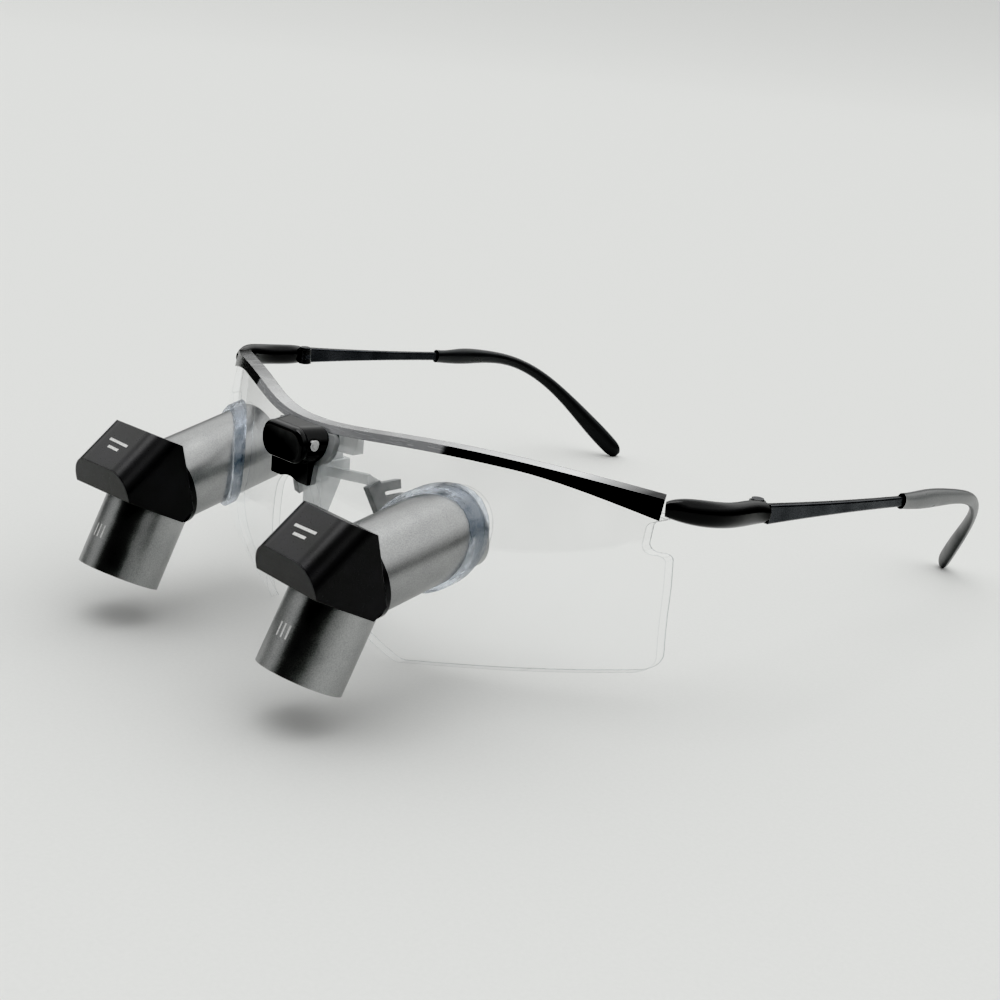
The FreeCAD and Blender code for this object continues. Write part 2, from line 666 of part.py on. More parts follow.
def shield_space():
    """All the room from in front of the lamp mount to just behind the shield."""
    return solid_feature("shield_space", front_band(BROW_ZONE, SHIELD_REAR + dim("slip"),
                                                    dim("brow_half")), FRONT)


def make_bridge():
    bar = upright("bridge_bar", [
        ("Dims.brow_front", "Dims.bridge_low"), ("Dims.bridge_back", "Dims.bridge_low"),
        ("Dims.bridge_back", "Dims.bridge_high"), ("Dims.brow_front", "Dims.bridge_high"),
    ], "bridge_half")
    brow_back = "Dims.brow_front + Dims.brow_depth + 6 * Dims.slip"
    tab = upright("bridge_tab", [
        (brow_back, "Dims.bridge_low"), (brow_back + " + Dims.tab_thickness", "Dims.bridge_low"),
        (brow_back + " + Dims.tab_thickness", "Dims.tab_top"), (brow_back, "Dims.tab_top"),
    ], "tab_half")
    teeth = []
    for k in range(5):
        drop = "%d * Dims.tooth_pitch" % k
        back = "Dims.stem_back - %s * Dims.tooth_slope" % drop
        teeth.append((back, "Dims.stem_knee - " + drop))
        teeth.append((back + " - Dims.tooth_depth", "Dims.stem_knee - %s - Dims.tooth_pitch" % drop))
    stem = upright("bridge_stem", [
        ("Dims.stem_front", "Dims.bridge_low + 1"), ("Dims.stem_front", "Dims.stem_foot"),
        (teeth[-1][0], "Dims.stem_foot"),
    ] + teeth[::-1] + [("Dims.stem_back", "Dims.bridge_low + 1")], "stem_half")
    whole = fuse("bridge_whole", bar, tab, stem)
    subpart(cut("nose_bridge", whole, shield_space()), "nose_bridge")


def arm_bar(name, length, where):
    """A flat nylon bar that starts at a frame's origin and runs along its X axis."""
    corner = place(0, -dim("arm_thickness") / 2, -dim("arm_height") / 2)
    return box(name, length, "Dims.arm_thickness", "Dims.arm_height", where * corner)


def arm_frames(side):
    root = place(side * dim("arm_side"), dim("arm_front"), dim("arm_level"))
    swing = dim("arm_angle") if side > 0 else 180 - dim("arm_angle")
    arm = root * turn(Z_AXIS, swing)
    elbow = arm * place(dim("arm_reach") - dim("arm_thickness") / 2)
    hand = FreeCAD.Placement(elbow.Base, FreeCAD.Rotation(Z_AXIS, 90)) * turn(
        Y_AXIS, dim("hand_drop"))
    return arm, hand


def make_carriage():
    half = "(Dims.stem_half + Dims.carriage_slip + Dims.carriage_wall)"
    room = "Dims.carriage_slip + Dims.carriage_wall"
    depth = "Dims.stem_back - Dims.stem_front"
    block = box("carriage_block", "2 * " + half, depth + " + 2 * (%s)" % room,
                "Dims.carriage_high - Dims.carriage_low",
                place(-dim("stem_half") - dim("carriage_slip") - dim("carriage_wall"),
                      dim("stem_front") - dim("carriage_slip") - dim("carriage_wall"),
                      dim("carriage_low")))
    hole = box("carriage_hole", "2 * (Dims.stem_half + Dims.carriage_slip)",
               depth + " + 2 * Dims.carriage_slip", "Dims.carriage_high",
               place(-dim("stem_half") - dim("carriage_slip"),
                     dim("stem_front") - dim("carriage_slip"), dim("carriage_low") / 2))
    arms = []
    for tag, side in SIDES.items():
        arm, hand = arm_frames(side)
        arms.append(arm_bar("arm_" + tag, "Dims.arm_reach", arm))
        arms.append(arm_bar("hand_" + tag, "Dims.hand_length", hand))
    whole = fuse("carriage_whole", block, *arms)
    return subpart(cut("nose_carriage", whole, hole), "nose_carriage")


def make_pad(side, tag, carriage):
    """A leaning plate with a comb of soft fingers that point back towards the nose."""
    frame = place(side * dim("pad_side"), dim("pad_front"), dim("pad_top"))
    frame = frame * turn(Y_AXIS, -side * dim("pad_lean")) * turn(X_AXIS, dim("pad_rake"))
    plate = box("pad_plate_" + tag, "Dims.pad_thickness", "Dims.pad_width", "Dims.pad_length",
                frame * place(-dim("pad_thickness") / 2, 0, -dim("pad_length")))
    pieces = [plate]
    for k in range(3):
        root = frame * place(-dim("pad_thickness") / 2, dim("pad_width") / 2,
                             -dim("finger_height") - 0.2 - k * dim("finger_pitch"))
        pieces.append(box("pad_finger_%d_%s" % (k, tag), "Dims.pad_thickness",
                          "Dims.finger_length + Dims.pad_width / 2", "Dims.finger_height",
                          root * turn(X_AXIS, -dim("pad_rake"))))
    whole = fuse("pad_whole_" + tag, *pieces)
    subpart(cut("nose_pad_" + tag, whole, carriage), "nose_pad_" + tag)


# ---------------------------------------------------------------- lamp mount

def mount_outline(half):
    corner = dim("mount_corner")
    low, high = dim("mount_low"), dim("mount_high")
    return rounded_outline([(half, high, corner), (half, low, corner),
                            (-half, low, corner), (-half, high, corner)])


def skirt_prism(start=-REACH):
    """Tongue from the mount down to the nose arch, as wide as the skirt."""
    half = dim("skirt_half")
    top = dim("mount_low") + dim("mount_corner") - dim("brow_top")
    foot = -dim("skirt_foot")
    wire = rounded_outline([(half, top, 0), (half, foot, 0), (-half, foot, 0), (-half, top, 0)])
    return prism(wire, start).cut(nose_arch())


def make_mount():
    cap_back = dim("mount_front") + dim("cap_thickness")
    cap = prism(mount_outline(dim("mount_half")), dim("mount_front"), cap_back)
    rim = [edge for edge in cap.Edges if edge.BoundBox.YMax < dim("mount_front") + dim("slip")]
    subpart(solid_feature("cap", cap.makeFillet(dim("cap_round"), rim)), "lamp_mount_cap")

    front = mount_outline(dim("mount_half"))
    front.translate(vec(0, cap_back + dim("slip"), 0))
    back = mount_outline(dim("mount_base_half"))
    back.translate(vec(0, dim("brow_front") + MARGIN, 0))
    gasket_front = -dim("gasket_thickness")
    room = front_band(BROW_ZONE, gasket_front, 2 * dim("mount_base_half"))
    room.Placement = FRONT
    skirt = skirt_prism(-dim("skirt_ahead"))
    skirt.Placement = FRONT
    base = Part.makeLoft([front, back], True, True).fuse(skirt).common(room)
    across = vec(0, dim("mount_front") + dim("cross_pin_behind"), dim("cross_pin_height"))
    half = dim("cross_pin_half")
    bushes = []
    for side in SIDES.values():
        start = across + X_AXIS * side * (half - dim("slip") - dim("bush_length"))
        bush = Part.makeCylinder(dim("bush_radius"), dim("bush_length"), start, X_AXIS * side)
        base = base.cut(Part.makeCylinder(dim("bush_radius") + dim("slip"), half,
                                          start - X_AXIS * side * dim("slip"), X_AXIS * side))
        bushes.append(bush.cut(Part.makeCylinder(dim("cross_pin_radius") + dim("slip"), 4 * half,
                                                 across - X_AXIS * 2 * half, X_AXIS)))
    base = base.cut(Part.makeCylinder(dim("cross_pin_radius") + dim("slip"), 4 * half,
                                      across - X_AXIS * 2 * half, X_AXIS))
    subpart(solid_feature("mount_base", base), "lamp_mount_base")
    subpart(solid_feature("mount_bushes", Part.makeCompound(bushes)), "lamp_mount_bushes")
    pin = cylinder("mount_pin", "Dims.cross_pin_radius", "2 * Dims.cross_pin_half",
                   FreeCAD.Placement(across - X_AXIS * half, FreeCAD.Rotation(Y_AXIS, 90)))
    subpart(pin, "lamp_mount_pin")

    sheet_plan = prism(mount_outline(dim("mount_base_half")))
    sheet_plan.Placement = FRONT.inverse()
    gasket = front_band(gasket_front + dim("slip"), SHIELD_FACE - dim("slip"),
                        2 * dim("mount_base_half"))
    gasket = gasket.common(sheet_plan.fuse(skirt_prism()))
    gasket = gasket.common(under(brow_underside, -dim("slip")))
    subpart(solid_feature("gasket", gasket, FRONT), "lamp_mount_gasket")


# ---------------------------------------------------------------- assembly and export

brow = make_brow()
shield = make_shield()
front = [brow.Shape, shield.Shape]
make_hinge_screws()
for tag, side in SIDES.items():
    make_telescope(side, tag)
    make_seal(side, tag)
    make_end_piece(side, tag, front)
    make_temple(side, tag)
    make_tip(side, tag)
make_bridge()
carriage = make_carriage()
for tag, side in SIDES.items():
    make_pad(side, tag, carriage)
make_mount()
doc.recompute()

for item in doc.Objects:
    if "Invalid" in item.State or "Error" in item.State:
        raise RuntimeError("%s did not recompute: %s" % (item.Name, item.State))
for item in SUBPARTS:
    if item.Shape.isNull() or not item.Shape.isValid():
        raise RuntimeError("%s has no valid shape" % item.Label)
    item.Shape.exportStep("parts/%s.step" % item.Label)
    box_of = item.Shape.optimalBoundingBox()
    print("%-22s %2d solid(s) %8.1f mm3  x %7.2f %7.2f  y %7.2f %7.2f  z %6.2f %6.2f" % (
        item.Label, len(item.Shape.Solids), item.Shape.Volume, box_of.XMin, box_of.XMax,
        box_of.YMin, box_of.YMax, box_of.ZMin, box_of.ZMax))
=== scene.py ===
import json
import math
import bpy
from mathutils import Matrix, Vector


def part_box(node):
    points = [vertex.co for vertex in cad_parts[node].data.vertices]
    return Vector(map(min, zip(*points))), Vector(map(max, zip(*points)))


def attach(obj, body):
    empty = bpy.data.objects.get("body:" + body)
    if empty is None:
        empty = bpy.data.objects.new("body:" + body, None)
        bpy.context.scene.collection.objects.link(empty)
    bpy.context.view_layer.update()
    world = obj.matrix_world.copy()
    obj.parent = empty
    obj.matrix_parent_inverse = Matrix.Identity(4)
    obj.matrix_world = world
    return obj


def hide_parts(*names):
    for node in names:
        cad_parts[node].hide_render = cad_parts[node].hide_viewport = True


# Dental loupes on a pale table: materials for every CAD node, softer pieces in place of the
# adhesive rings, nose pads, nose bridge and carriage, plain studio light and the camera.

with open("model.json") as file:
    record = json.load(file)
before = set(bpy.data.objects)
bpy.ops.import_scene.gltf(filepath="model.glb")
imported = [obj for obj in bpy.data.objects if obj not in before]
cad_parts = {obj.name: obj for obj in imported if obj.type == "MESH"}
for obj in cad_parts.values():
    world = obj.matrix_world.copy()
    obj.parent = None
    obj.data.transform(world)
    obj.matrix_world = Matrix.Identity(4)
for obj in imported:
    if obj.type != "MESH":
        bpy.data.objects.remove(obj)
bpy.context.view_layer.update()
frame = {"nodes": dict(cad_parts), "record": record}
NODES = frame["nodes"]
BODY_OF = {node: body for body, members in frame["record"]["behaviour"]["bodies"].items()
           for node in members}
SLOT_OF = {part["node"]: part["material_slot"] for part in frame["record"]["subparts"]}
SIDES = ("left", "right")
MM = 0.001


# ---------------------------------------------------------------- materials

# how far the bevelled normal has turned from the real one: none of an edge, all of an edge
FLAT_ENOUGH = 0.995
FULL_EDGE = 0.86
BEVEL_SAMPLES = 4


class Finish:
    """A node material: a Principled shader with helpers for grain, wear and bump."""

    def __init__(self, name, roughness, metallic=0.0, **sockets):
        self.material = bpy.data.materials.new(name)
        self.material.use_nodes = True
        self.tree = self.material.node_tree
        self.shader = self.tree.nodes["Principled BSDF"]
        self.shader.inputs["Roughness"].default_value = roughness
        self.shader.inputs["Metallic"].default_value = metallic
        for socket, value in sockets.items():
            self.shader.inputs[socket.replace("_", " ")].default_value = value
        places = self.node("ShaderNodeTexCoord")
        self.coords = places.outputs["Object"]
        self.normal = places.outputs["Normal"]

    def node(self, kind, **settings):
        item = self.tree.nodes.new(kind)
        for name, value in settings.items():
            setattr(item, name, value)
        return item

    def join(self, source, target):
        self.tree.links.new(source, target)

    def stretched(self, scale):
        mapping = self.node("ShaderNodeMapping")
        mapping.inputs["Scale"].default_value = scale
        self.join(self.coords, mapping.inputs["Vector"])
        return mapping.outputs["Vector"]

    def noise(self, grain, detail=3.0, stretch=(1, 1, 1)):
        """Noise whose blotches are about `grain` metres across."""
        noise = self.node("ShaderNodeTexNoise")
        noise.inputs["Scale"].default_value = 1 / grain
        noise.inputs["Detail"].default_value = detail
        self.join(self.stretched(stretch), noise.inputs["Vector"])
        return noise.outputs["Fac"]

    def spread(self, value, low, high, to_low=0.0, to_high=1.0):
        span = self.node("ShaderNodeMapRange")
        for name, number in (("From Min", low), ("From Max", high),
                             ("To Min", to_low), ("To Max", to_high)):
            span.inputs[name].default_value = number
        self.join(value, span.inputs["Value"])
        return span.outputs["Result"]

    def blend(self, share, first, second):
        """Colour `first` where share is 0 and `second` where it is 1."""
        mix = self.node("ShaderNodeMix", data_type="RGBA")
        self.join(share, mix.inputs["Factor"])
        for socket, colour in ((mix.inputs[6], first), (mix.inputs[7], second)):
            if isinstance(colour, tuple):
                socket.default_value = (*colour, 1.0)
            else:
                self.join(colour, socket)
        return mix.outputs[2]

    def math(self, operation, first, second):
        item = self.node("ShaderNodeMath", operation=operation)
        for socket, value in ((item.inputs[0], first), (item.inputs[1], second)):
            if isinstance(value, (int, float)):
                socket.default_value = value
            else:
                self.join(value, socket)
        return item.outputs["Value"]

    def edge_mask(self, radius):
        """1 along outside and inside edges, fading to 0 within `radius` of them."""
        bevel = self.node("ShaderNodeBevel", samples=BEVEL_SAMPLES)
        bevel.inputs["Radius"].default_value = radius
        normal = self.node("ShaderNodeNewGeometry").outputs["Normal"]
        dot = self.node("ShaderNodeVectorMath", operation="DOT_PRODUCT")
        self.join(bevel.outputs["Normal"], dot.inputs[0])
        self.join(normal, dot.inputs[1])
        return self.spread(dot.outputs["Value"], FLAT_ENOUGH, FULL_EDGE)

    def bump(self, height, depth, edge_radius=0.0):
        """Relief `depth` metres deep, with corners rounded by `edge_radius` if it is given."""
        bump = self.node("ShaderNodeBump")
        bump.inputs["Distance"].default_value = depth
        self.join(height, bump.inputs["Height"])
        if edge_radius:
            bevel = self.node("ShaderNodeBevel", samples=BEVEL_SAMPLES)
            bevel.inputs["Radius"].default_value = edge_radius
            self.join(bevel.outputs["Normal"], bump.inputs["Normal"])
        self.join(bump.outputs["Normal"], self.shader.inputs["Normal"])

    def set(self, socket, value):
        self.join(value, self.shader.inputs[socket])


def blasted_metal(name, dark, light, worn):
    """Bead-blasted anodised aluminium: speckled, with rubbed bright edges."""
    finish = Finish(name, roughness=0.34, metallic=1.0)
    speckle = finish.noise(0.22 * MM, 4.0)
    cloud = finish.noise(5 * MM, 2.0)
    share = finish.math("ADD", finish.spread(speckle, 0.35, 0.65, 0.0, 0.7),
                        finish.spread(cloud, 0.3, 0.7, 0.0, 0.3))
    colour = finish.blend(share, dark, light)
    colour = finish.blend(finish.edge_mask(0.18 * MM), colour, worn)
    finish.set("Base Color", colour)
    finish.set("Roughness", finish.spread(cloud, 0.2, 0.8, 0.29, 0.38))
    finish.bump(speckle, 0.006 * MM, edge_radius=0.12 * MM)
    return finish.material


def satin_aluminium():
    return blasted_metal("satin_aluminium", (0.29, 0.294, 0.298), (0.43, 0.434, 0.43),
                         (0.70, 0.70, 0.69))


def dark_aluminium():
    return blasted_metal("dark_aluminium", (0.30, 0.308, 0.31), (0.47, 0.475, 0.47),
                         (0.62, 0.62, 0.61))


def black_anodised():
    """Satin black housing: fine milling haze, a faint violet cast and painted highlights on the
    corners.
    """
    finish = Finish("black_anodised", roughness=0.3, Specular_IOR_Level=0.68)
    haze = finish.noise(0.5 * MM, 5.0, stretch=(1, 1, 6))
    cloud = finish.noise(7 * MM, 2.0)
    colour = finish.blend(finish.spread(cloud, 0.3, 0.7), (0.003, 0.003, 0.003),
                          (0.008, 0.007, 0.010))
    # painted highlight: edges and corners painted lighter grey
    colour = finish.blend(finish.edge_mask(0.22 * MM), colour, (0.10, 0.10, 0.105))
    finish.set("Base Color", colour)
    finish.set("Roughness", finish.spread(haze, 0.25, 0.75, 0.26, 0.36))
    finish.bump(haze, 0.004 * MM, edge_radius=0.25 * MM)
    return finish.material


def gunmetal():
    """Plated temple metal: dark grey with brushed grain and rubbed edges."""
    finish = Finish("gunmetal", roughness=0.25, metallic=1.0)
    grain = finish.noise(0.35 * MM, 4.0, stretch=(0.3, 0.3, 1.5))
    cloud = finish.noise(9 * MM, 2.0)
    colour = finish.blend(finish.spread(cloud, 0.3, 0.7), (0.058, 0.060, 0.064),
                          (0.088, 0.09, 0.095))
    colour = finish.blend(finish.edge_mask(0.15 * MM), colour, (0.24, 0.24, 0.245))
    finish.set("Base Color", colour)
    finish.set("Roughness", finish.spread(grain, 0.3, 0.7, 0.22, 0.36))
    finish.bump(grain, 0.003 * MM, edge_radius=0.12 * MM)
    return finish.material


PLATED_FROM = 28 * MM
PLATED_FULLY = 29.5 * MM
GRAIN_RAGGED = 0.6 * MM
# where along the bar the painted highlight on the top face is full and where it has faded out
TOP_HIGHLIGHT_FULL = 50 * MM
TOP_HIGHLIGHT_NONE = 62 * MM


def brow_metal():
    """The brow bar: a painted highlight on the satin top face, fading to its ends; a front painted
    grey over the nose for light caught where the bar turns, black outwards; dark lines along the
    corners."""
    finish = Finish("brow_metal", roughness=0.2, metallic=1.0)
    split = finish.node("ShaderNodeSeparateXYZ")
    finish.join(finish.coords, split.inputs["Vector"])
    outward = finish.math("ABSOLUTE", split.outputs["X"], 0.0)
    facing = finish.node("ShaderNodeSeparateXYZ")
    finish.join(finish.normal, facing.inputs["Vector"])
    grain = finish.noise(0.4 * MM, 4.0, stretch=(0.12, 0.12, 1.5))
    reach = finish.math("ADD", outward, finish.spread(grain, 0, 1, 0.0, GRAIN_RAGGED))
    outer = finish.spread(reach, PLATED_FROM, PLATED_FULLY)
    # painted light: the front is painted mid grey over the nose for the light it catches where the
    # bar turns, black outwards
    front = finish.blend(outer, (0.50, 0.505, 0.52), (0.012, 0.012, 0.013))
    top_highlight_fade = finish.spread(outward, TOP_HIGHLIGHT_NONE, TOP_HIGHLIGHT_FULL)
    # painted highlight: faces that look up are painted bright, fading towards the ends of the bar
    painted_top_highlight = finish.math("MULTIPLY", finish.spread(facing.outputs["Z"], 0.45, 0.75), top_highlight_fade)
    colour = finish.blend(painted_top_highlight, front, (0.74, 0.745, 0.75))
    colour = finish.blend(finish.edge_mask(0.16 * MM), colour, (0.03, 0.03, 0.032))
    # fully metallic on the black ends and under the painted top highlight
    metal_share_and_highlight = finish.math("MAXIMUM", outer, painted_top_highlight)
    finish.set("Metallic", finish.spread(metal_share_and_highlight, 0, 1, 0.35, 1.0))
    finish.set("Base Color", colour)
    finish.set("Roughness", finish.spread(grain, 0.3, 0.7, 0.22, 0.3))
    finish.bump(grain, 0.003 * MM, edge_radius=0.1 * MM)
    return finish.material


def black_gloss():
    """Moulded glossy black: orange-peel ripple and rubbed edges."""
    finish = Finish("black_gloss", roughness=0.14, Specular_IOR_Level=0.5, Coat_Weight=0.15,
                    Coat_Roughness=0.06)
    ripple = finish.noise(1.6 * MM, 2.0)
    dust = finish.noise(0.15 * MM, 3.0)
    colour = finish.blend(finish.spread(dust, 0.62, 0.75), (0.004, 0.004, 0.005),
                          (0.035, 0.035, 0.036))
    colour = finish.blend(finish.edge_mask(0.2 * MM), colour, (0.07, 0.07, 0.072))
    finish.set("Base Color", colour)
    finish.set("Roughness", finish.spread(ripple, 0.3, 0.7, 0.10, 0.2))
    finish.bump(ripple, 0.01 * MM, edge_radius=0.3 * MM)
    return finish.material


def black_rubber():
    """Temple tips: black acetate with a painted reflection, satin grey, on the outer face, dulled
    where fingers hold it.
    """
    finish = Finish("black_rubber", roughness=0.3, Specular_IOR_Level=0.6, Coat_Weight=0.2,
                    Coat_Roughness=0.25)
    grain = finish.noise(0.3 * MM, 4.0)
    cloud = finish.noise(8 * MM, 2.0)
    place = finish.node("ShaderNodeSeparateXYZ")
    finish.join(finish.coords, place.inputs["Vector"])
    facing = finish.node("ShaderNodeSeparateXYZ")
    finish.join(finish.normal, facing.inputs["Vector"])
    side = finish.math("SIGN", place.outputs["X"], 0.0)
    outward = finish.math("MULTIPLY", side, facing.outputs["X"])
    black = finish.blend(finish.spread(cloud, 0.3, 0.7), (0.006, 0.007, 0.008),
                         (0.015, 0.016, 0.018))
    # painted reflection: the grey stands for the bright surroundings the outer face reflects at a
    # grazing angle
    grey = finish.blend(finish.spread(grain, 0.3, 0.7), (0.17, 0.175, 0.175),
                        (0.23, 0.235, 0.235))
    # faces looking outwards get the painted reflection grey, the rest stays black
    colour = finish.blend(finish.spread(outward, 0.45, 0.7), black, grey)
    finish.set("Base Color", colour)
    finish.set("Roughness", finish.spread(cloud, 0.3, 0.7, 0.24, 0.42))
    finish.bump(grain, 0.006 * MM)
    return finish.material


def steel():
    """Bright turned steel with fine rings and a few dull specks."""
    finish = Finish("steel", roughness=0.15, metallic=1.0)
    rings = finish.noise(0.12 * MM, 3.0, stretch=(1, 1, 5))
    colour = finish.blend(finish.spread(rings, 0.3, 0.7), (0.62, 0.62, 0.63), (0.82, 0.82, 0.81))
    finish.set("Base Color", colour)
    finish.set("Roughness", finish.spread(rings, 0.2, 0.8, 0.1, 0.24))
    finish.bump(rings, 0.003 * MM, edge_radius=0.06 * MM)
    return finish.material


def see_through(finish, tint, share):
    """Lets a share of the light straight through, and all shadow light, so that a clear piece
    bends what lies behind only a little and casts only a faint shadow."""
    tree = finish.tree
    output = [item for item in tree.nodes if item.type == "OUTPUT_MATERIAL"][0]
    mix = finish.node("ShaderNodeMixShader")
    clear = finish.node("ShaderNodeBsdfTransparent")
    clear.inputs["Color"].default_value = (*tint, 1.0)
    shadow = finish.node("ShaderNodeLightPath").outputs["Is Shadow Ray"]
    finish.join(finish.math("MAXIMUM", shadow, share), mix.inputs[0])
    finish.join(finish.shader.outputs["BSDF"], mix.inputs[1])
    finish.join(clear.outputs["BSDF"], mix.inputs[2])
    finish.join(mix.outputs["Shader"], output.inputs["Surface"])


def nylon():
    """Translucent milky nylon, paler where it is thin, with a fine moulding texture."""
    finish = Finish("nylon", roughness=0.35, IOR=1.5, Transmission_Weight=0.2,
                    Subsurface_Weight=0.3, Subsurface_Scale=0.8 * MM)
    finish.shader.inputs["Subsurface Radius"].default_value = (1.0, 1.0, 1.0)
    grain = finish.noise(0.3 * MM, 3.0)
    cloud = finish.noise(3 * MM, 2.0)
    colour = finish.blend(finish.spread(cloud, 0.3, 0.7), (0.72, 0.74, 0.75), (0.84, 0.86, 0.86))
    finish.set("Base Color", colour)
    finish.set("Roughness", finish.spread(grain, 0.3, 0.7, 0.28, 0.42))
    finish.bump(grain, 0.006 * MM, edge_radius=0.15 * MM)
    see_through(finish, (0.95, 0.955, 0.955), 0.45)
    return finish.material


def grey_rubber():
    """Soft grey silicone, slightly see-through, matte, its grey varying in soft blotches."""
    finish = Finish("grey_rubber", roughness=0.5, IOR=1.42, Transmission_Weight=0.3,
                    Sheen_Weight=0.15)
    grain = finish.noise(0.25 * MM, 4.0)
    cloud = finish.noise(2.5 * MM, 2.0)
    colour = finish.blend(finish.spread(cloud, 0.3, 0.7), (0.34, 0.355, 0.36), (0.47, 0.48, 0.485))
    finish.set("Base Color", colour)
    finish.set("Roughness", finish.spread(grain, 0.3, 0.7, 0.42, 0.6))
    finish.bump(grain, 0.01 * MM)
    return finish.material


def clear_plastic():
    """The shield: clear polycarbonate that shows by its reflections, smears and grey rim.
    It doesn't bend light, because a thin plate hardly shifts what lies behind it."""
    finish = Finish("clear_plastic", roughness=0.03, metallic=1.0)
    smear = finish.noise(11 * MM, 3.0)
    hair = finish.noise(0.3 * MM, 2.0, stretch=(0.08, 0.3, 1.6))
    rim = finish.edge_mask(0.3 * MM)
    finish.set("Base Color", finish.blend(rim, (0.92, 0.94, 0.945), (0.42, 0.45, 0.47)))
    finish.set("Roughness", finish.spread(smear, 0.45, 0.8, 0.02, 0.1))
    finish.bump(hair, 0.0006 * MM)
    grazing = finish.math("POWER", finish.node("ShaderNodeLayerWeight").outputs["Facing"], 5.0)
    gloss = finish.math("ADD", finish.math("MULTIPLY", grazing, 0.5),
                        finish.spread(smear, 0.3, 0.8, 0.02, 0.05))
    finish.set("Alpha", finish.math("MAXIMUM", gloss, finish.math("MULTIPLY", rim, 0.6)))
    return finish.material


def clear_adhesive():
    """Adhesive bead: clear, bluish, lumpy, with a wet gloss."""
    finish = Finish("clear_adhesive", roughness=0.05, IOR=1.4, Transmission_Weight=1.0)
    lumps = finish.noise(1.3 * MM, 3.0)
    fine = finish.noise(0.35 * MM, 2.0)
    colour = finish.blend(finish.spread(lumps, 0.35, 0.65), (0.60, 0.65, 0.72),
                          (0.92, 0.95, 0.98))
    finish.set("Base Color", colour)
    finish.set("Roughness", finish.spread(fine, 0.3, 0.8, 0.02, 0.16))
    finish.bump(lumps, 0.05 * MM)
    see_through(finish, (0.84, 0.87, 0.91), 0.3)
    return finish.material


def optical_glass():
    """Coated lens glass: a dim violet-green coating and a few dust specks."""
    finish = Finish("optical_glass", roughness=0.02, IOR=1.52, Transmission_Weight=0.95,
                    Coat_Weight=0.6, Coat_Tint=(0.62, 0.55, 0.9, 1.0))
    dust = finish.noise(0.12 * MM, 3.0)
    colour = finish.blend(finish.spread(dust, 0.66, 0.76), (0.86, 0.93, 0.90), (0.6, 0.6, 0.6))
    finish.set("Base Color", colour)
    finish.set("Roughness", finish.spread(dust, 0.6, 0.8, 0.0, 0.25))
    finish.bump(dust, 0.001 * MM)
    return finish.material


MAKERS = {
    "satin_aluminium": satin_aluminium, "dark_aluminium": dark_aluminium,
    "black_anodised": black_anodised, "gunmetal": gunmetal, "black_gloss": black_gloss,
    "black_rubber": black_rubber, "steel": steel, "nylon": nylon, "grey_rubber": grey_rubber,
    "clear_plastic": clear_plastic, "clear_adhesive": clear_adhesive,
    "optical_glass": optical_glass,
}
FINISHES = {slot: make() for slot, make in MAKERS.items()}
FINISHES["brow"] = brow_metal()


def coat(item, slot):
    item.data.materials.clear()
    item.data.materials.append(FINISHES[slot])
    for polygon in item.data.polygons:
        polygon.material_index = 0


for name, node in NODES.items():
    coat(node, SLOT_OF[name])
coat(NODES["brow_bar"], "brow")


# ---------------------------------------------------------------- softer pieces

FINE_VOXEL = 0.11 * MM
MOULD_VOXEL = 0.13 * MM
SOFT_VOXEL = 0.14 * MM
LUMP_SIZE = 1.6 * MM
BEAD_LUMPS = 0.16 * MM
SLIDE_ROOM = 0.1 * MM


def rounded_copy(node, name, voxel, passes, swell=0.0, shrink=0.0):
    """A remeshed, smoothed copy of a CAD node, so moulded and soft pieces have round edges.
    It can be lumpy by `swell` or drawn in all round by `shrink`."""
    source = NODES[node]
    item = bpy.data.objects.new(name, source.data.copy())
    bpy.context.scene.collection.objects.link(item)
    remesh = item.modifiers.new("remesh", "REMESH")
    remesh.mode = "VOXEL"
    remesh.voxel_size = voxel
    smooth = item.modifiers.new("smooth", "SMOOTH")
    smooth.factor = 0.5
    smooth.iterations = passes
    if swell:
        lumps = bpy.data.textures.new(name + "_lumps", "CLOUDS")
        lumps.noise_scale = LUMP_SIZE
        lift = item.modifiers.new("lumps", "DISPLACE")
        lift.texture = lumps
        lift.texture_coords = "LOCAL"
        lift.strength = swell
        lift.mid_level = 0.5
    if shrink:
        draw_in = item.modifiers.new("draw_in", "DISPLACE")
        draw_in.strength = -shrink
        draw_in.mid_level = 0.0
    graph = bpy.context.evaluated_depsgraph_get()
    mesh = bpy.data.meshes.new_from_object(item.evaluated_get(graph), depsgraph=graph)
    item.modifiers.clear()
    item.data = mesh
    for polygon in mesh.polygons:
        polygon.use_smooth = True
    coat(item, SLOT_OF[node])
    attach(item, BODY_OF[node])
    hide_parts(node)
    return item


for side in SIDES:
    pad = rounded_copy("nose_pad_" + side, "soft_pad_" + side, SOFT_VOXEL, 5)
    rounded_copy("seal_ring_" + side, "adhesive_bead_" + side, SOFT_VOXEL, 8, swell=BEAD_LUMPS)
rounded_copy("nose_carriage", "moulded_carriage", FINE_VOXEL, 3, shrink=SLIDE_ROOM)
rounded_copy("nose_bridge", "moulded_bridge", MOULD_VOXEL, 3)


# ---------------------------------------------------------------- index marks

def index_paint():
    """White printed marks, a little uneven and rubbed."""
    finish = Finish("index_paint", roughness=0.55)
    wear = finish.noise(0.2 * MM, 4.0)
    colour = finish.blend(finish.spread(wear, 0.35, 0.6), (0.62, 0.62, 0.61), (0.86, 0.86, 0.85))
    finish.set("Base Color", colour)
    finish.bump(wear, 0.004 * MM)
    return finish.material


PAINT = index_paint()
INK = 0.02 * MM
BAR_LINES = ((0.8 * MM, 6.0 * MM), (-0.8 * MM, 3.4 * MM))
BAR_HALF = 0.3 * MM
BARREL_RADIUS = 8.35 * MM
TICK_TURNS = (-0.14, 0.0, 0.14)
TICK_EDGES = (-0.025, 0.0, 0.025)
TICK_ABOVE = 1.2 * MM
TICK_BELOW = 1.4 * MM
SAME_LEVEL = 0.05 * MM


def middle(node):
    low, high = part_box(node)
    return (low + high) / 2


